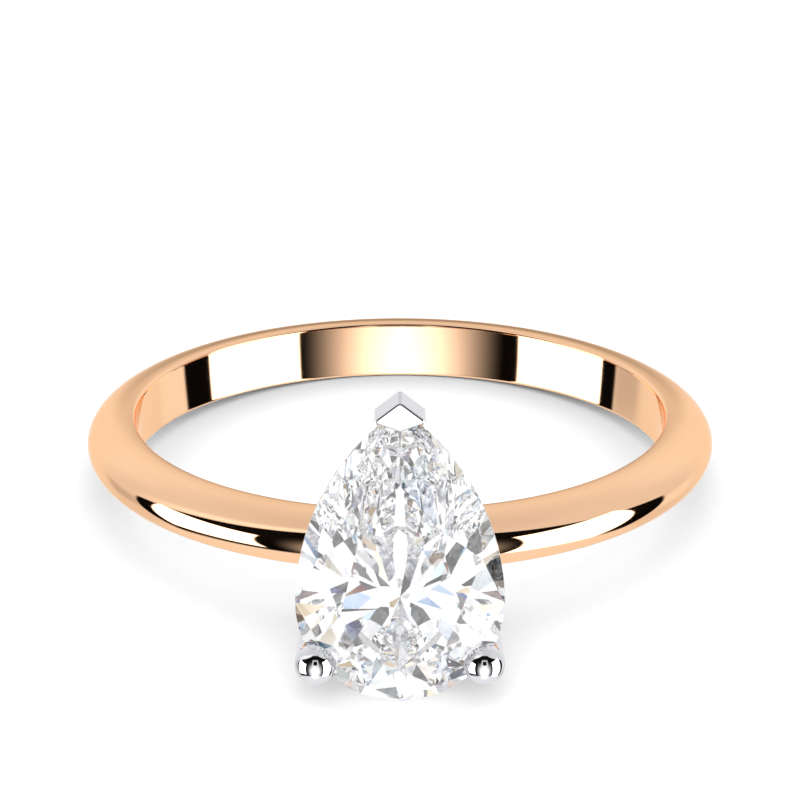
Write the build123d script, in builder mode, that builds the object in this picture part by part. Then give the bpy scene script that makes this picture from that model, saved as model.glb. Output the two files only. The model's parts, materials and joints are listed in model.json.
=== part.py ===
from build123d import *

import os
from math import asin, atan2, cos, degrees, hypot, radians, sin, sqrt, tan

# A solitaire engagement ring: a rose gold band carrying a pear-cut diamond in a three-claw white metal head.
#
# Everything is modelled upright, as a jeweller draws a ring: X across the finger, Y along the finger with the
# stone's point towards +Y, Z up through the middle of the stone, and the origin at the centre of the finger's
# hole. At the end each piece is laid on its side, as the ring rests on a table, and written out. Millimetres.

# --- band: a D section, flat against the finger and domed outside
finger_radius = 8.25
band_width = 1.8
band_thickness = 1.5
band_flank = 0.25  # straight side between the inside edge and the dome
band_edge_radius = 0.12  # softened inside edges

# --- pear-cut diamond: a half circle at the round end, two equal arcs meeting at the point
stone_half_width = 3.07
stone_wing_radius = 7.5
girdle_rise = 3.85  # middle of the girdle above the top of the band
girdle_thickness = 0.18
crown_height = 0.9
pavilion_depth = 2.62
crown_angle = 34.0
crown_angle_at_point = 24.0
star_share = 0.5  # height of the star tips, as a share of the crown
lower_half_share = 0.22  # height of the lower half tips above the culet, as a share of the pavilion
wing_main_angle = 26.0  # place of the main facet on each wing, about the wing's own centre

# --- head: collet, peg, gallery rail, two round claws and one folded claw over the point
collet_scale = 0.36  # of the stone's outline
collet_wall = 0.45
collet_rise = 0.7  # top of the collet above the top of the band
collet_floor_rise = 0.4
collet_skirt_drop = 0.8
collet_flare = 9.0  # degrees that the collet opens upwards
collet_point_radius = 0.35
collet_edge_radius = 0.08
peg_radius = 0.45
solder_gap = 0.05
solder_spread = 0.1
rail_clearance = 0.05  # between the rail and the underside of the stone
rail_width = 0.75
rail_height = 0.8
rail_drop = 1.15  # top of the rail below the middle of the girdle
rail_edge_radius = 0.22
rail_point_radius = 0.3
claw_bearing_angle = -35.7  # direction of the right-hand round claw about the stone's axis
claw_foot_radius = 0.42
claw_knee_radius = 0.57
claw_tip_radius = 0.62
claw_foot_edge_radius = 0.12
claw_foot_overlap = 0.22  # how far the claw's axis stands outside the collet
claw_tip_rise = 0.36  # tip centre above the middle of the girdle
claw_tip_inset = 0.02  # tip centre inside the girdle
claw_knee_drop = 1.1  # bend in the claw's wire below the middle of the girdle
point_claw_wall = 0.37
point_claw_half_width = 0.83
point_claw_reach = 0.51  # how far the cap covers the stone from its point
point_claw_rise = 0.65  # top of the cap above the middle of the girdle
point_claw_drop = 0.32  # bottom of the cap below the middle of the girdle
point_claw_edge_radius = 0.1
point_claw_ridge_radius = 0.16
point_claw_corner_radius = 0.08
point_claw_stem_scale = 0.55
point_claw_stem_drop = 0.4  # foot of the stem below the top of the band
point_claw_stem_inset = 0.3  # foot of the stem inside the collet's point

# --- derived places
band_top = finger_radius + band_thickness
girdle_height = band_top + girdle_rise
collet_top = band_top + collet_rise
collet_floor_top = band_top + collet_floor_rise
collet_skirt_bottom = band_top - collet_skirt_drop
rail_top = girdle_height - rail_drop
girdle_top = girdle_height + girdle_thickness / 2
girdle_bottom = girdle_height - girdle_thickness / 2
table_height = girdle_top + crown_height
culet_height = girdle_bottom - pavilion_depth
wing_centre = stone_wing_radius - stone_half_width  # distance of each wing's centre from the axis
point_reach = sqrt(stone_wing_radius**2 - wing_centre**2)
point_angle = degrees(asin(point_reach / stone_wing_radius))
dome_rise = band_thickness - band_flank


def pear_face(scale=1.0, grow=0.0, point_radius=0.0):
    """The stone's outline, scaled about its axis and then grown evenly, with an optional rounded point."""
    half_width = stone_half_width * scale + grow
    centre = wing_centre * scale
    wing = stone_wing_radius * scale + grow
    point = sqrt(wing**2 - centre**2)
    sweep_angle = degrees(asin(point / wing))
    with BuildSketch() as face:
        with BuildLine():
            CenterArc((-centre, 0), wing, 0, sweep_angle)
            CenterArc((centre, 0), wing, 180 - sweep_angle, sweep_angle)
            CenterArc((0, 0), half_width, 180, 180)
        make_face()
        if point_radius:
            fillet(face.vertices().sort_by(Axis.Y)[-1], point_radius)
    return face.sketch


def band_section(grow=0.0):
    """The band's D section, width across and height up, grown on the outside only."""
    half = band_width / 2 + grow
    flank_top = finger_radius + band_flank
    with BuildSketch() as section:
        with BuildLine():
            Polyline((half, flank_top), (half, finger_radius), (-half, finger_radius), (-half, flank_top))
            EllipticalCenterArc((0, flank_top), half, dome_rise + grow, start_angle=0, arc_size=180)
        make_face()
        if not grow:
            fillet(section.vertices().group_by(Axis.Y)[0], band_edge_radius)
    return section.sketch


# --- the diamond, cut facet by facet from a pear-shaped prism


def outline_point(step):
    """Point and outward normal on the outline: step 0 is the point, 4 the widest place, 8 the round end."""
    side = 1 if step <= 8 else -1
    step = min(step, 16 - step)
    if step < 4:
        marks = (point_angle, (point_angle + wing_main_angle) / 2, wing_main_angle, wing_main_angle / 2)
        angle = radians(marks[step])
        normal = Vector(side * cos(angle), sin(angle))
        place = normal * stone_wing_radius - Vector(side * wing_centre, 0)
    else:
        angle = radians(-22.5 * (step - 4))
        normal = Vector(side * cos(angle), sin(angle))
        place = normal * stone_half_width
    return (place, Vector(0, 1)) if step == 0 else (place, normal)


def lifted(place, height):
    return Vector(place.X, place.Y, height)


def plane_through(a, b, c):
    """The plane through three points, facing away from the middle of the stone."""
    normal = (b - a).cross(c - a).normalized()
    if normal.dot(a - Vector(0, 0, girdle_height)) < 0:
        normal = -normal
    return Plane(origin=a, z_dir=normal)


def meeting(first, second, height):
    """Where two planes cross at a given height."""
    level = Plane(origin=(0, 0, height), z_dir=(0, 0, 1))
    line = first.intersect(second)
    return level.intersect(line)


def main_planes():
    """Eight crown mains with their table corners, and eight pavilion mains through the culet."""
    crown, corners, pavilion = [], [], []
    for step in range(0, 16, 2):
        place, normal = outline_point(step)
        angle = radians(crown_angle_at_point if step == 0 else crown_angle)
        tilted = Vector(normal.X * sin(angle), normal.Y * sin(angle), cos(angle))
        crown.append(Plane(origin=lifted(place, girdle_top), z_dir=tilted))
        corners.append(lifted(place - normal * (crown_height / tan(angle)), table_height))
        slope = atan2(pavilion_depth, normal.dot(place))
        tilted = Vector(normal.X * sin(slope), normal.Y * sin(slope), -cos(slope))
        pavilion.append(Plane(origin=lifted(place, girdle_bottom), z_dir=tilted))
    return crown, corners, pavilion


def facet_planes():
    """Every facet of the stone but the table: mains, stars, upper halves and lower halves."""
    crown, corners, pavilion = main_planes()
    planes = crown + pavilion
    star_height = girdle_top + crown_height * star_share
    lower_height = culet_height + pavilion_depth * lower_half_share
    for i in range(8):
        after = (i + 1) % 8
        star_tip = meeting(crown[i], crown[after], star_height)
        lower_tip = meeting(pavilion[i], pavilion[after], lower_height)
        planes.append(plane_through(corners[i], corners[after], star_tip))
        middle = outline_point(2 * i + 1)[0]
        for step in (2 * i, (2 * i + 2) % 16):
            end = outline_point(step)[0]
            planes.append(plane_through(star_tip, lifted(end, girdle_top), lifted(middle, girdle_top)))
            planes.append(plane_through(lower_tip, lifted(end, girdle_bottom), lifted(middle, girdle_bottom)))
    return planes


with BuildPart() as pear_diamond:
    with BuildSketch(Plane.XY.offset(culet_height)):
        add(pear_face())
    extrude(amount=table_height - culet_height)
    for facet in facet_planes():
        split(bisect_by=facet, keep=Keep.BOTTOM)

# --- the band, drilled for the peg
with BuildPart() as shank:
    with BuildSketch(Plane.YZ):
        add(band_section())
    revolve(axis=Axis.Y)
    with BuildSketch(Plane.XY.offset(finger_radius - band_edge_radius)):
        Circle(peg_radius)
    extrude(amount=2 * band_thickness, mode=Mode.SUBTRACT)

# the band grown by the solder's thickness, which shapes the saddles of the head
with BuildPart() as solder_envelope:
    with BuildSketch(Plane.YZ):
        add(band_section(solder_gap))
    revolve(axis=Axis.Y)

# --- the peg, filed flush with the inside of the band
with BuildPart() as head_peg:
    Cylinder(peg_radius, collet_floor_top, align=(Align.CENTER, Align.CENTER, Align.MIN))
    Cylinder(finger_radius, 2 * band_width, rotation=(90, 0, 0), mode=Mode.SUBTRACT)

# --- the collet, a small pear-shaped cup saddled over the band
with BuildPart() as base_collet:
    with BuildSketch(Plane.XY.offset(collet_skirt_bottom)):
        add(pear_face(collet_scale, point_radius=collet_point_radius))
    extrude(amount=collet_top - collet_skirt_bottom, taper=-collet_flare)
    with BuildSketch(Plane.XY.offset(collet_floor_top)):
        add(pear_face(collet_scale, -collet_wall))
    extrude(amount=collet_top - collet_floor_top, mode=Mode.SUBTRACT)
    fillet(base_collet.edges().group_by(Axis.Z)[-1], collet_edge_radius)
    add(solder_envelope.part, mode=Mode.SUBTRACT)
    add(head_peg.part, mode=Mode.SUBTRACT)

# --- the gallery rail, a pear-shaped ring just clear of the pavilion
pavilion_share_at_rail = (rail_top - culet_height) / pavilion_depth
with BuildPart() as gallery_rail:
    with BuildSketch(Plane.XY.offset(rail_top - rail_height)):
        add(pear_face(pavilion_share_at_rail, rail_clearance + rail_width, point_radius=rail_point_radius))
        add(pear_face(pavilion_share_at_rail, rail_clearance), mode=Mode.SUBTRACT)
    extrude(amount=rail_height)
    rims = gallery_rail.edges().group_by(Axis.Z)[0] + gallery_rail.edges().group_by(Axis.Z)[-1]
    fillet(rims, rail_edge_radius)

# --- the round claws: tapered wire bent upright beside the rail, with a domed tip, notched for the girdle and
# saddled over the band
bearing = radians(claw_bearing_angle)
outward = Vector(cos(bearing), sin(bearing))
claw_foot = lifted(outward * (stone_half_width * collet_scale + claw_foot_overlap), collet_skirt_bottom)
claw_knee = lifted(outward * (stone_half_width - claw_tip_inset), girdle_height - claw_knee_drop)
claw_tip = lifted(claw_knee, girdle_height + claw_tip_rise)
standing = (Align.CENTER, Align.CENTER, Align.MIN)

with BuildPart() as claw_right:
    with Locations(Plane(origin=claw_foot, z_dir=claw_knee - claw_foot)):
        Cone(claw_foot_radius, claw_knee_radius, (claw_knee - claw_foot).length, align=standing)
    fillet(claw_right.edges().sort_by(Axis.Z)[0], claw_foot_edge_radius)
    with Locations(claw_knee):
        Sphere(claw_knee_radius)
        Cone(claw_knee_radius, claw_tip_radius, claw_knee_drop + claw_tip_rise, align=standing)
    with Locations(claw_tip):
        Sphere(claw_tip_radius, rotation=(0, 90, 0))  # its poles to the sides, away from the polished dome
    for neighbour in (solder_envelope, base_collet, gallery_rail, pear_diamond):
        add(neighbour.part, mode=Mode.SUBTRACT)

with BuildPart() as claw_left:
    mirror(claw_right.part, about=Plane.YZ)

# --- the folded claw: a chevron cap over the stone's point on a tapering stem
cap_wing = stone_wing_radius + point_claw_wall
cap_point = sqrt(cap_wing**2 - wing_centre**2)
cap_corner = sqrt(cap_wing**2 - (wing_centre + point_claw_half_width) ** 2)
cap_inner = point_reach - point_claw_reach
cap_bottom = girdle_height - point_claw_drop
cap_height = point_claw_drop + point_claw_rise
stem_foot = point_reach * collet_scale - point_claw_stem_inset


def cap_face(inner_corner, scale=1.0):
    """The cap's four-cornered outline, drawn from its inner corner, with ridge and side corners rounded."""
    side = (cap_corner - cap_inner) * scale + inner_corner
    point = (cap_point - cap_inner) * scale + inner_corner
    half_width = point_claw_half_width * scale
    with BuildSketch() as face:
        Polygon((0, inner_corner), (half_width, side), (0, point), (-half_width, side), align=None)
        fillet(face.vertices().sort_by(Axis.Y)[-1], point_claw_ridge_radius * scale)
        fillet(face.vertices().group_by(Axis.X)[0], point_claw_corner_radius * scale)
        fillet(face.vertices().group_by(Axis.X)[-1], point_claw_corner_radius * scale)
    return face.sketch


with BuildPart() as claw_point:
    with BuildSketch(Plane.XY.offset(cap_bottom)) as cap_bottom_face:
        add(cap_face(cap_inner))
    extrude(amount=cap_height)
    fillet(claw_point.edges().group_by(Axis.Z)[-1], point_claw_edge_radius)
    with BuildSketch(Plane.XY.offset(band_top - point_claw_stem_drop)) as stem_face:
        add(cap_face(stem_foot, point_claw_stem_scale))
    loft(sections=[stem_face.sketch, cap_bottom_face.sketch], ruled=True)
    for neighbour in (solder_envelope, base_collet, gallery_rail, pear_diamond):
        add(neighbour.part, mode=Mode.SUBTRACT)

# --- solder: a thin film between the head and the band, a little wider than the collet and the claw feet
with BuildPart() as seat_solder:
    with BuildSketch(Plane.XY.offset(collet_skirt_bottom)):
        add(pear_face(collet_scale, solder_spread, point_radius=collet_point_radius))
        with Locations((claw_foot.X, claw_foot.Y), (-claw_foot.X, claw_foot.Y)):
            Circle(claw_foot_radius + solder_spread)
    extrude(amount=band_thickness)
    add(solder_envelope.part, mode=Mode.INTERSECT)
    add(shank.part, mode=Mode.SUBTRACT)
    add(head_peg.part, mode=Mode.SUBTRACT)


# --- laid on its side: the ring rests on the back of the band and the stone's round end
def resting_tilt():
    """How far the front of the band is raised, in radians, with both rests on the table."""
    tilt = 0.0
    for _ in range(20):
        band_drop = hypot(band_width / 2 * cos(tilt), dome_rise * sin(tilt))
        lever = girdle_bottom + finger_radius + band_flank
        tilt = asin((stone_half_width * cos(tilt) - band_drop) / lever)
    return tilt


pieces = {
    "shank": shank,
    "head_peg": head_peg,
    "base_collet": base_collet,
    "gallery_rail": gallery_rail,
    "claw_left": claw_left,
    "claw_right": claw_right,
    "claw_point": claw_point,
    "seat_solder": seat_solder,
    "pear_diamond": pear_diamond,
}
turned = Location((0, 0, 0), (90 - degrees(resting_tilt()), 0, 0))
extent = Compound(children=[turned * piece.part for piece in pieces.values()]).bounding_box()
settled = Location((-extent.center().X, -extent.center().Y, -extent.min.Z))
laid_down = settled * turned

os.makedirs("parts", exist_ok=True)
for name, piece in pieces.items():
    placed = laid_down * piece.part
    placed.label = name
    export_step(placed, f"parts/{name}.step")

finger_centre = laid_down.position
print("finger centre", finger_centre, "tilt in degrees", degrees(resting_tilt()))
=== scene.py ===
# %% [markdown]
# # A solitaire ring in rose gold with a pear-cut diamond
#
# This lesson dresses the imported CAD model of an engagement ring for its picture. The model comes at its
# real size and in its place: the ring lies on its side on a table at z = 0, the diamond faces -Y, and
# Blender's unit is the metre. The CAD solids are right in shape, but a mirror polish shows every flat
# triangle, so the band, which is the largest mirror, is built again here as a fine mesh. Every piece gets
# a finish made of nodes.

# %% Load the ring
import json
import math

import bmesh
import bpy
from mathutils import Matrix, Vector


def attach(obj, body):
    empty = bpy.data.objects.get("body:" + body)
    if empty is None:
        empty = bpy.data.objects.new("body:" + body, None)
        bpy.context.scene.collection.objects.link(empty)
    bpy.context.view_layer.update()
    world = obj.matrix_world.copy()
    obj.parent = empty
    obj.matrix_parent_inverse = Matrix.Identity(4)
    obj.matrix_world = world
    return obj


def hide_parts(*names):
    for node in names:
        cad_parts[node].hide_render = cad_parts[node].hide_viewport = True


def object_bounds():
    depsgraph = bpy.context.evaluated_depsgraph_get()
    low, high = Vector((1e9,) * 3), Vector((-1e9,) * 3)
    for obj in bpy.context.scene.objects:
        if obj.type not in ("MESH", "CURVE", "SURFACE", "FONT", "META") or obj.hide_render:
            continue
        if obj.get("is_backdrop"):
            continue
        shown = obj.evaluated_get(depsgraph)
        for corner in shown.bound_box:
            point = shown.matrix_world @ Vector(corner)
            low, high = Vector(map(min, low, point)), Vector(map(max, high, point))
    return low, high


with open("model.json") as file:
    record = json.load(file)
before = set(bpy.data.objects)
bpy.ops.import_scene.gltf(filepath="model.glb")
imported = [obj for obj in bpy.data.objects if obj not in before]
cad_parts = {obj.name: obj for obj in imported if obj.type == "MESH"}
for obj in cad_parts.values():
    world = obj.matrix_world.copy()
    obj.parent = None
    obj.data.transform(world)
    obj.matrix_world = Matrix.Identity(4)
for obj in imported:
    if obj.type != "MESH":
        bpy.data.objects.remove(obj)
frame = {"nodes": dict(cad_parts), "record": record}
cad_low, cad_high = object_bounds()
scene = bpy.context.scene


def mm(length):
    """A maker's millimetres in Blender's metres."""
    return length / 1000


print("CAD pieces:", ", ".join(sorted(frame["nodes"])))

# %% [markdown]
# ## The ring's own directions
#
# A jeweller thinks of a ring standing upright: x across the finger, y along the finger towards the
# stone's point, and z up through the stone. The record holds one mount, the bore for the finger, with its
# centre, axis and radius. They give a matrix that lays an upright piece down on the table, so a piece can
# be built upright.

# %% Find the upright ring
bore = next(mount for mount in frame["record"]["mounts"] if mount["name"] == "finger_bore")
finger_radius = mm(bore["dims"]["r_mm"])
along_finger = Vector(bore["axis"])
across_finger = Vector((1, 0, 0))
through_stone = across_finger.cross(along_finger)
laid_down = Matrix((across_finger, along_finger, through_stone)).transposed().to_4x4()
laid_down.translation = Vector(bore["pos_m"])
tilt = math.asin(along_finger.y)
print(f"the front of the band is raised by {math.degrees(tilt):.1f} degrees")


def upright_box(node_name):
    """Lowest and highest corner of a CAD node, measured in the upright ring."""
    stood_up = laid_down.inverted()
    places = [stood_up @ vertex.co for vertex in frame["nodes"][node_name].data.vertices]
    low = Vector(min(place[i] for place in places) for i in range(3))
    high = Vector(max(place[i] for place in places) for i in range(3))
    return low, high


# %% [markdown]
# ## Camera
#
# A ring looks best through a long lens from well back, so that the near and the far side of the band look
# almost equally large. The camera stands in front of the stone and looks down by about 26 degrees.

# %% Place the camera
look_down = math.radians(20.25) + tilt
camera_distance = mm(200)
aim_above_finger = mm(1.22)

camera_data = bpy.data.cameras.new("camera")
camera_data.lens = 288
camera_data.sensor_width = 36
camera_data.clip_start = mm(5)
camera = bpy.data.objects.new("camera", camera_data)
scene.collection.objects.link(camera)
scene.camera = camera
looking = Vector((0, math.cos(look_down), -math.sin(look_down)))
picture_up = Vector((0, math.sin(look_down), math.cos(look_down)))
camera.location = laid_down.translation + picture_up * aim_above_finger - looking * camera_distance
camera.rotation_euler = looking.to_track_quat("-Z", "Y").to_euler()
print(f"the camera looks down by {math.degrees(look_down):.1f} degrees")

# %% [markdown]
# ## Colours and nodes
#
# Colours are chosen as sRGB hex values, the way a paint chart gives them, and Blender mixes light in linear
# values, so one function converts them. One more function adds a node with its settings and its links.


# %% Make the helpers for materials
def linear(hex_colour):
    """An sRGB hex colour as the linear values that a shader works with."""
    channels = [int(hex_colour[place : place + 2], 16) / 255 for place in (1, 3, 5)]
    return [c / 12.92 if c <= 0.04045 else ((c + 0.055) / 1.055) ** 2.4 for c in channels] + [1.0]


def add_node(tree, kind, inputs=None, **settings):
    """Adds a node; each input is given a plain value, or another node's output to be linked to."""
    made = tree.nodes.new("ShaderNode" + kind)
    for name, value in settings.items():
        setattr(made, name, value)
    for name, value in (inputs or {}).items():
        if isinstance(value, bpy.types.NodeSocket):
            tree.links.new(value, made.inputs[name])
        else:
            made.inputs[name].default_value = value
    return made


def empty_material(name):
    """A material that uses nodes and has none yet."""
    material = bpy.data.materials.new(name)
    material.use_nodes = True
    material.node_tree.nodes.clear()
    return material


print("middle grey #808080 is", round(linear("#808080")[0], 3), "in linear light")

# %% [markdown]
# ## Polished precious metal
#
# Both metals of the ring are finished on the same wheels: felt with tripoli, then a soft mop with rouge.
# That leaves a mirror with three faint marks. The mop drags hairlines along the work, the hand holding
# the ring leaves the surface a few microns out of true, and the alloy's colour is never quite even. Each
# is one noise texture, with its scale taken from a real size. The hairlines are 0.01 mm wide on a real
# ring and are drawn at 0.05 mm here, because finer ones would not show in the picture.


# %% Write the polish
def polished_metal(name, colour, deeper_colour, edge_colour, roughness):
    """A mirror-polished precious metal with hairlines, a slightly wavy surface and uneven colour."""
    material = empty_material(name)
    tree = material.node_tree
    place = add_node(tree, "TexCoord").outputs["Object"]

    colour_patch_size = mm(2.5)
    patches = add_node(tree, "TexNoise", {"Vector": place, "Scale": 1 / colour_patch_size, "Detail": 2.0})
    tone = add_node(
        tree, "Mix", {"Factor": patches.outputs["Fac"], 6: colour, 7: deeper_colour}, data_type="RGBA"
    )

    hairline_width = mm(0.05)
    hairline_length = mm(1.6)
    long_in_x = (hairline_width / hairline_length, 1, 1)
    stretched = add_node(tree, "Mapping", {"Vector": place, "Scale": long_in_x})
    hairlines = add_node(
        tree,
        "TexNoise",
        {"Vector": stretched.outputs[0], "Scale": 1 / hairline_width, "Detail": 3.0, "Roughness": 0.6},
    )
    rougher_in_a_hairline = 2.2
    dulled = add_node(
        tree,
        "MapRange",
        {
            "Value": hairlines.outputs["Fac"],
            "From Min": 0.5,
            "From Max": 0.8,
            "To Min": roughness,
            "To Max": roughness * rougher_in_a_hairline,
        },
    )

    wave_size = mm(1.8)
    wave_height = mm(0.004)
    waves = add_node(tree, "TexNoise", {"Vector": place, "Scale": 1 / wave_size, "Detail": 1.0})
    wavy = add_node(
        tree, "Bump", {"Height": waves.outputs["Fac"], "Strength": 0.5, "Distance": wave_height}
    )
    hairline_depth = mm(0.00006)
    lined = add_node(
        tree,
        "Bump",
        {
            "Height": hairlines.outputs["Fac"],
            "Strength": 0.5,
            "Distance": hairline_depth,
            "Normal": wavy.outputs[0],
        },
    )
    shader = add_node(
        tree,
        "BsdfPrincipled",
        {
            "Base Color": tone.outputs[2],
            "Metallic": 1.0,
            "Roughness": dulled.outputs[0],
            "Specular Tint": edge_colour,
            "Normal": lined.outputs[0],
        },
    )
    add_node(tree, "OutputMaterial", {"Surface": shader.outputs[0]})
    print(name, "has", len(tree.nodes), "nodes")
    return material


rose_gold = polished_metal(
    "polished_rose_gold", linear("#F4C8A4"), linear("#F1C39C"), linear("#FCE9D4"), roughness=0.035
)
white_gold = polished_metal(
    "rhodium_plated_white_gold", linear("#DDDDE0"), linear("#D6D6DA"), linear("#EEEEF0"), roughness=0.04
)
solder = polished_metal(
    "polished_white_gold_solder", linear("#DCDAD6"), linear("#D2CFCA"), linear("#E8E6E2"), roughness=0.10
)

# %% [markdown]
# ## Diamond
#
# Diamond bends light more than almost any other gem, with an index of 2.417, and its facets are ground
# flat and polished on a cast-iron lap, so the shader is clear glass with no roughness. A crystal grows in
# zones, and one noise gives it the very faint change of colour between them. The girdle, the stone's rim,
# is only ground and not polished, and gets a frosted version whose grain is drawn 0.04 mm wide. All the
# life of the stone comes from its facets, which throw the light back and forth inside, so the renderer
# has to follow many bounces.


# %% Write the stone's two finishes
def cut_diamond(name, roughness, frost):
    """Clear diamond; frost is the height of the ground surface's grain, and 0 leaves a polished facet."""
    material = empty_material(name)
    tree = material.node_tree
    place = add_node(tree, "TexCoord").outputs["Object"]
    zone_size = mm(1.5)
    zones = add_node(tree, "TexNoise", {"Vector": place, "Scale": 1 / zone_size, "Detail": 1.0})
    tone = add_node(
        tree,
        "Mix",
        {"Factor": zones.outputs["Fac"], 6: linear("#FFFFFF"), 7: linear("#FBFCFF")},
        data_type="RGBA",
    )
    shader = add_node(
        tree,
        "BsdfPrincipled",
        {"Base Color": tone.outputs[2], "Roughness": roughness, "IOR": 2.417, "Transmission Weight": 1.0},
    )
    if frost:
        grain_size = mm(0.04)
        grain = add_node(tree, "TexNoise", {"Vector": place, "Scale": 1 / grain_size, "Detail": 3.0})
        bump = add_node(tree, "Bump", {"Height": grain.outputs["Fac"], "Distance": frost})
        tree.links.new(bump.outputs[0], shader.inputs["Normal"])
    add_node(tree, "OutputMaterial", {"Surface": shader.outputs[0]})
    print(name, "has", len(tree.nodes), "nodes")
    return material


facet_finish = cut_diamond("polished_diamond", roughness=0.0, frost=0.0)
girdle_finish = cut_diamond("ground_diamond_girdle", roughness=0.25, frost=mm(0.004))

# %% [markdown]
# ## The band
#
# The band is half-round wire bent to a circle, and filed to an even D section: flat and 1.8 mm wide
# inside, with softened edges, and an oval dome outside. It could be a bevelled curve, but a bevelled
# curve has no exact inside diameter. Turning the section about the finger's axis, as on a lathe, keeps
# every size true. The fine steps are there for the reflections: a mirror shows facets that a matt surface
# would hide.


# %% Turn a section about the finger
def d_section(width, thickness, flank, edge_radius, dome_steps=64, edge_steps=8):
    """Points (along the finger, out from its axis) of the band's section, all the way round."""
    half = width / 2
    points = []
    for side in (-1, 1):
        for step in range(edge_steps + 1):
            turn = math.pi / 2 * step / edge_steps
            across = half - edge_radius + edge_radius * math.sin(turn)
            out = finger_radius + edge_radius - edge_radius * math.cos(turn)
            points.append((side * across, out))
        if side == -1:
            points.reverse()
    for step in range(dome_steps + 1):
        turn = math.pi * step / dome_steps
        across = half * math.cos(turn)
        out = finger_radius + flank + (thickness - flank) * math.sin(turn)
        points.append((across, out))
    return points


def turned_about_finger(name, section, steps):
    """A closed ring with this section, laid down on the table, smooth all over, that rides with the ring."""
    work = bmesh.new()
    rows = []
    for step in range(steps):
        turn = 2 * math.pi * step / steps
        row = []
        for across, out in section:
            row.append(work.verts.new((out * math.sin(turn), across, out * math.cos(turn))))
        rows.append(row)
    for step in range(steps):
        row, following = rows[step], rows[(step + 1) % steps]
        for i in range(len(section)):
            j = (i + 1) % len(section)
            work.faces.new((row[i], row[j], following[j], following[i]))
    bmesh.ops.remove_doubles(work, verts=work.verts, dist=mm(0.0005))
    bmesh.ops.recalc_face_normals(work, faces=work.faces)
    work.transform(laid_down)
    mesh = bpy.data.meshes.new(name)
    work.to_mesh(mesh)
    work.free()
    mesh.polygons.foreach_set("use_smooth", [True] * len(mesh.polygons))
    piece = bpy.data.objects.new(name, mesh)
    scene.collection.objects.link(piece)
    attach(piece, "root")
    print(name, "has", len(mesh.polygons), "faces")
    return piece


band_low, band_high = upright_box("shank")
band_width = band_high.y - band_low.y
band_thickness = band_high.x - finger_radius
print(f"band {band_width * 1000:.2f} mm wide and {band_thickness * 1000:.2f} mm thick")
section = d_section(band_width, band_thickness, flank=mm(0.25), edge_radius=mm(0.12))
band = turned_about_finger("rose_gold_band", section, steps=480)
band.data.materials.append(rose_gold)
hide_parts("shank")

# %% [markdown]
# ## The stone
#
# A cutter grinds 57 true planes: a table, 32 crown and 24 pavilion facets. The CAD stone has exactly
# these, but as triangles, so the triangles are joined again into whole facets and shaded flat. Smooth
# shading would ruin a gem, because every sharp edge would turn into a soft blend. The copy is made a
# thousandth smaller than the setting that holds it: two surfaces in the same place flicker, and a real
# stone sits on hair-thin bearings too. Clear stone hardly darkens what it stands on, so this one throws
# no shadow on the paper.


# %% Lift the stone out of the CAD model
def copied_from_cad(name, node_name):
    """A new piece with the same mesh as a CAD node, which it replaces."""
    piece = bpy.data.objects.new(name, frame["nodes"][node_name].data.copy())
    scene.collection.objects.link(piece)
    piece.data.materials.clear()
    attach(piece, "root")
    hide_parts(node_name)
    return piece


stone = copied_from_cad("cut_pear_diamond", "pear_diamond")
stone.visible_diffuse = False
stone_low, stone_high = upright_box("pear_diamond")
stone_middle = laid_down @ ((stone_low + stone_high) / 2)
shrunk_by = 0.001

facets = bmesh.new()
facets.from_mesh(stone.data)
bmesh.ops.remove_doubles(facets, verts=facets.verts, dist=mm(0.0005))
flat_within = math.radians(0.3)
bmesh.ops.dissolve_limit(facets, angle_limit=flat_within, verts=facets.verts, edges=facets.edges)
for vertex in facets.verts:
    vertex.co = vertex.co.lerp(stone_middle, shrunk_by)
smallest_facet = mm(0.5) ** 2
print("the stone has", sum(face.calc_area() > smallest_facet for face in facets.faces), "facets")

# %% [markdown]
# The girdle is the only part of the stone whose faces stand straight up, so the direction that a face
# looks in tells it from the facets. It gets the ground finish, and everything else the polished one. The
# girdle is a curved wall of triangles, some of which lean by up to eight degrees, and those that lean by
# more than about one degree keep the polish.

# %% Give the girdle its own finish
stone.data.materials.append(facet_finish)
stone.data.materials.append(girdle_finish)
upright_enough = 0.02
for face in facets.faces:
    face.smooth = False
    face.material_index = int(abs(face.normal.dot(through_stone)) < upright_enough)
facets.to_mesh(stone.data)
facets.free()
print(sum(face.material_index for face in stone.data.polygons), "faces have the ground finish")

# %% [markdown]
# ## The head
#
# The goldsmith makes the head apart from the band: a small cup (the collet), a rail that holds the claws
# at the right width, two round claws of bent wire and one folded claw that guards the stone's point.
# Their CAD shapes have the fillets of the real ones and stay as they are, with the plated finish. Only
# the peg is copied: it goes through the band and is filed flush inside. Exactly flush would put two
# surfaces in the same place, so it stands a hundredth of a millimetre proud.

# %% Finish the head
for node_name in ("base_collet", "gallery_rail", "claw_left", "claw_right", "claw_point"):
    node = frame["nodes"][node_name]
    node.data.materials.clear()
    node.data.materials.append(white_gold)

solder_film = frame["nodes"]["seat_solder"]
solder_film.data.materials.clear()
solder_film.data.materials.append(solder)

peg = copied_from_cad("filed_head_peg", "head_peg")
peg.data.materials.append(white_gold)
peg_proud = mm(0.01)
peg.data.transform(Matrix.Translation(-through_stone * peg_proud))
print("the peg is", round(peg.dimensions.x * 1000, 2), "mm thick")

# %% [markdown]
# ## The table
#
# Rings are laid on a sheet of thick white paper that runs on out of sight. Its fibres are finer than the
# picture can show, so they are drawn 0.3 mm long. A paper as bright as this would throw white into every
# underside of the ring. In a studio the cards do that job, so the sheet is taken out of the reflections,
# and a card below the horizon takes its place.


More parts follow.
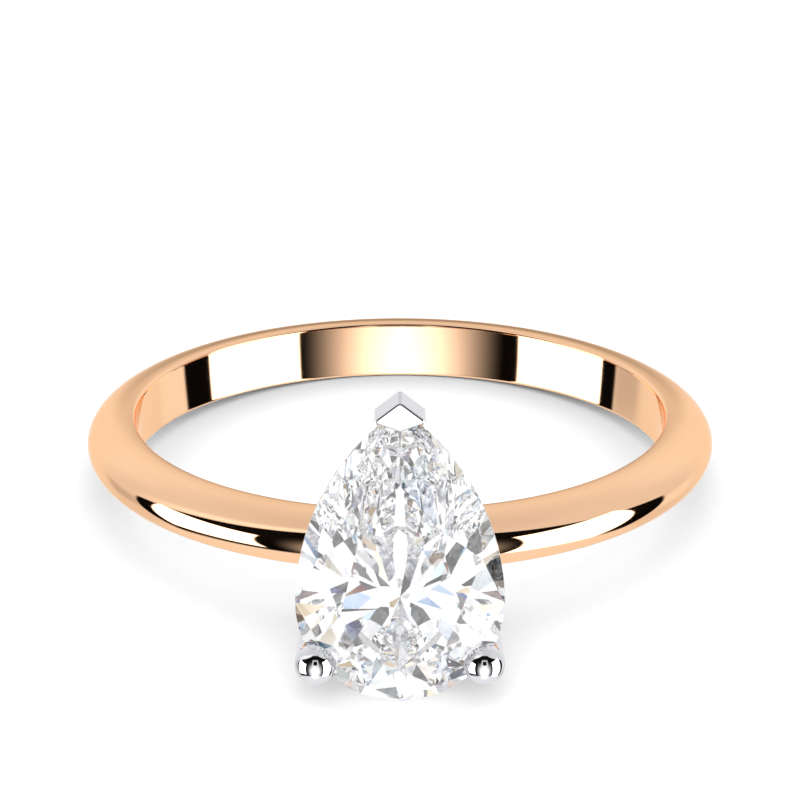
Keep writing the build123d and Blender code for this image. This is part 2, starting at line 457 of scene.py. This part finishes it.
# %% Lay out the paper
def matt_paper(name):
    """White uncoated paper: no gloss, faint fibres."""
    material = empty_material(name)
    tree = material.node_tree
    place = add_node(tree, "TexCoord").outputs["Object"]
    fibre_length = mm(0.3)
    fibre_height = mm(0.003)
    fibres = add_node(tree, "TexNoise", {"Vector": place, "Scale": 1 / fibre_length, "Detail": 3.0})
    tone = add_node(
        tree,
        "Mix",
        {"Factor": fibres.outputs["Fac"], 6: linear("#F5F5F5"), 7: linear("#F1F1F1")},
        data_type="RGBA",
    )
    relief = add_node(tree, "Bump", {"Height": fibres.outputs["Fac"], "Distance": fibre_height})
    shader = add_node(
        tree,
        "BsdfPrincipled",
        {
            "Base Color": tone.outputs[2],
            "Roughness": 0.9,
            "Specular IOR Level": 0.0,
            "Normal": relief.outputs[0],
        },
    )
    add_node(tree, "OutputMaterial", {"Surface": shader.outputs[0]})
    return material


paper_reach = 3.0
sheet = bmesh.new()
bmesh.ops.create_grid(sheet, x_segments=1, y_segments=1, size=paper_reach)
paper_mesh = bpy.data.meshes.new("paper_table")
sheet.to_mesh(paper_mesh)
sheet.free()
paper_mesh.materials.append(matt_paper("uncoated_white_paper"))
paper = bpy.data.objects.new("paper_table", paper_mesh)
scene.collection.objects.link(paper)
paper.visible_glossy = False
paper.visible_transmission = False
paper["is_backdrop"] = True
print("the paper is", 2 * paper_reach, "m wide")

# %% [markdown]
# ## Studio light
#
# A mirror shows nothing but its surroundings, so lighting polished gold means choosing what it reflects.
# A studio has white and black cards hung all around. Here they are painted on the sky: each card is a
# rectangle measured in degrees, by its turn to the side (0 is the camera's side, positive is the right)
# and its rise above the horizon. Lamps could do it too, but a sky has no noise from small lamps and no
# falloff, and a card's place can be read straight from what a surface should reflect.

# %% Measure directions on the sky
studio = bpy.data.worlds.new("studio")
scene.world = studio
studio.use_nodes = True
sky = studio.node_tree
sky.nodes.clear()

direction = add_node(sky, "TexCoord").outputs["Generated"]
split = add_node(sky, "SeparateXYZ", {0: direction})
to_front = add_node(sky, "Math", {0: split.outputs["Y"], 1: -1.0}, operation="MULTIPLY")
turn_angle = add_node(sky, "Math", {0: split.outputs["X"], 1: to_front.outputs[0]}, operation="ARCTAN2")
rise_angle = add_node(sky, "Math", {0: split.outputs["Z"]}, operation="ARCSINE")
turn = add_node(sky, "Math", {0: turn_angle.outputs[0]}, operation="DEGREES").outputs[0]
rise = add_node(sky, "Math", {0: rise_angle.outputs[0]}, operation="DEGREES").outputs[0]
side = add_node(sky, "Math", {0: turn}, operation="ABSOLUTE").outputs[0]
print("the directions take", len(sky.nodes), "nodes")

# %% [markdown]
# A card with a hard edge looks cut out with scissors, and one with a soft edge looks like a glow, so each
# card says how soft its edge is. The cards wait in a list with their brightness, and are hung in that
# order, each in front of the ones before it.


# %% Cut a card
def soft_card(turned, risen, middle, half_size, edge):
    """1 on a rectangular card, 0 off it and a smooth step between them over twice the edge."""
    covers = []
    for angle, centre, reach in zip((turned, risen), middle, half_size):
        offset = add_node(sky, "Math", {0: angle, 1: centre}, operation="SUBTRACT")
        away = add_node(sky, "Math", {0: offset.outputs[0]}, operation="ABSOLUTE")
        cover = add_node(
            sky,
            "MapRange",
            {"Value": away.outputs[0], "From Min": reach + edge, "From Max": reach - edge},
            interpolation_type="SMOOTHSTEP",
        )
        covers.append(cover.outputs[0])
    return add_node(sky, "Math", {0: covers[0], 1: covers[1]}, operation="MULTIPLY").outputs[0]


# %% [markdown]
# The room is a white tent, a little brighter on both sides behind the ring and a little darker overhead,
# with a dim gap straight behind. That alone gives gold its warm, even body colour with slow gradients.
# Two small cards just below the horizon, a bright one on the right and a dim one on the left, are there
# for the inside of the band, which mirrors them at its left and right ends.

# %% Put up the tent
tent_light = 0.95
cards = []
cards.append((soft_card(side, rise, (153, 4), (22, 34), 14), 1.12))
cards.append((soft_card(side, rise, (0, 90), (180, 30), 14), 0.85))
cards.append((soft_card(side, rise, (180, 2), (8, 10), 7), 0.45))
cards.append((soft_card(turn, rise, (118, -18), (12, 12), 6), 1.15))
cards.append((soft_card(turn, rise, (-118, -17), (10, 10), 5), 0.70))
print(len(cards), "cards make the tent")

# %% [markdown]
# Contrast comes from a black cloth, the flag, that runs round the front from side to side. Its upper edge
# falls away towards the sides, which draws the long curved dark line on the band. Just above it on the
# left a strip light makes the gold glow, and a white card on the ground lights the undersides.

# %% Hang the strip light, the black flag and the ground card
flag_slope = 0.9
sloped = add_node(sky, "Math", {0: side, 1: flag_slope, 2: rise}, operation="MULTIPLY_ADD")
sloped_rise = sloped.outputs[0]
cards.append((soft_card(turn, sloped_rise, (-70, 112), (30, 5), 16), 1.7))
below_slope = soft_card(side, sloped_rise, (0, 9), (108, 90), 1.2)
below_top = soft_card(side, rise, (0, -20), (180, 90), 2)
flag = add_node(sky, "Math", {0: below_slope, 1: below_top}, operation="MULTIPLY").outputs[0]
cards.append((flag, 0.004))
cards.append((soft_card(side, rise, (0, -90), (180, 42), 4), 1.12))
print(len(cards), "cards so far")

# %% [markdown]
# Lights shine through the flag. A large soft one in front, below eye level, whitens the inside of the
# band. Two hard-edged windows left and right give the bright streaks. Round the place of the lens is a
# small pale square with a dark middle, the lens itself, which shows as a dot on the domes of the claws.

# %% Light the front and the windows
cards.append((soft_card(turn, rise, (-1, -22), (18, 30), 27), 3.4))
cards.append((soft_card(turn, rise, (0, 26), (18, 18), 6), 1.2))
cards.append((soft_card(turn, rise, (0, 28), (12, 11), 3), 0.0))
window_edge = 0.7
window_brightness = 3.2
cards.append((soft_card(turn, rise, (-75.5, -12), (23, 26), window_edge), window_brightness))
cards.append((soft_card(turn, rise, (67.5, -11), (23.5, 38), window_edge), window_brightness))

card_light = tent_light
for card, brightness in cards:
    hung = add_node(sky, "Mix", {"Factor": card, 2: card_light, 3: brightness}, data_type="FLOAT")
    card_light = hung.outputs[0]
print(len(cards), "cards hang in the studio")

# %% [markdown]
# ## Light for the stone
#
# Under the same cards a diamond would look almost black and white. So it gets a light of its
# own, a small tent of crumpled tissue, whose folds make some facets bright and others grey. Diamond also
# bends blue light more than red, which is its fire. A renderer that bends all colours alike can still
# show it: each colour looks up the tissue in a slightly different direction, so that the edge of a fold
# shows colour.


# %% Crumple the tissue
def tissue(looked_at):
    """Brightness of the tissue in a direction, from its dark folds to its lit faces."""
    fold_scale = 6.0
    folds = add_node(
        sky, "TexNoise", {"Vector": looked_at, "Scale": fold_scale, "Detail": 2.0, "Roughness": 0.6}
    )
    brightness = add_node(
        sky,
        "MapRange",
        {"Value": folds.outputs["Fac"], "From Min": 0.42, "From Max": 0.48, "To Min": 0.02, "To Max": 1.15},
    )
    return brightness.outputs[0]


fire = {"red": -0.002, "green": 0.0, "blue": 0.003}
channels = []
for shift in fire.values():
    bent = add_node(sky, "VectorMath", {0: direction, 1: (shift, 0, shift)}, operation="ADD")
    channels.append(tissue(bent.outputs[0]))
tissue_colour = add_node(sky, "CombineColor", dict(enumerate(channels))).outputs[0]
print("the tissue is looked up once each for", ", ".join(fire))

# %% [markdown]
# Every ray now gets its own view of the sky. Rays that touched the perfectly sharp facets, or went
# through the stone, see the tissue. Rays from the softer mirror of the gold see the cards. The paper is
# lit by a plain sky that is brightest near the horizon, which keeps the shadow under the ring short and
# pale.

# %% Join the three skies
rays = add_node(sky, "LightPath")
been_inside = add_node(
    sky, "Math", {0: rays.outputs["Transmission Depth"], 1: 0.5}, operation="GREATER_THAN"
)
from_stone = add_node(
    sky, "Math", {0: rays.outputs["Is Singular Ray"], 1: been_inside.outputs[0]}, operation="MAXIMUM"
)
horizon_light = 2.65
less_overhead = -1.5
plain_light = add_node(
    sky, "Math", {0: split.outputs["Z"], 1: less_overhead, 2: horizon_light}, operation="MULTIPLY_ADD"
)
plain_sky = add_node(sky, "Background", {"Strength": plain_light.outputs[0], "Color": (1, 1, 1, 1)})
card_sky = add_node(sky, "Background", {"Strength": card_light, "Color": (1, 1, 1, 1)})
tissue_sky = add_node(sky, "Background", {"Strength": 1.0, "Color": tissue_colour})
for_metal = add_node(
    sky, "MixShader", {0: rays.outputs["Is Glossy Ray"], 1: plain_sky.outputs[0], 2: card_sky.outputs[0]}
)
for_all = add_node(
    sky, "MixShader", {0: from_stone.outputs[0], 1: for_metal.outputs[0], 2: tissue_sky.outputs[0]}
)
add_node(sky, "OutputWorld", {"Surface": for_all.outputs[0]})
print("the sky has", len(sky.nodes), "nodes")

# %% [markdown]
# ## Light paths and colour
#
# Light bounces a dozen times and more inside a cut stone, and the renderer counts each inner reflection
# as a glossy bounce, so all the limits are raised: with few bounces the deepest facets go black. Light
# that a mirror throws onto the paper adds noise and tints the shadow, so it is left out. White paper
# should come out white, so the colours are shown as they are, with no film curve.

# %% Set light paths and colour
bounces = 32
scene.cycles.max_bounces = bounces
scene.cycles.glossy_bounces = bounces
scene.cycles.transmission_bounces = bounces
scene.cycles.caustics_reflective = False
scene.view_settings.view_transform = "Standard"
print("light is followed for", bounces, "bounces")

# %% [markdown]
# ## Compare the size
#
# The dressed ring must be as large as the CAD model, so the low corner of its box is compared with the CAD
# model's.

# %% Compare the low corners
visual_low, visual_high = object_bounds()
moved = (Vector(visual_low) - Vector(cad_low)).length
print(f"the low corner of the box moved by {moved * 1000:.4f} mm")
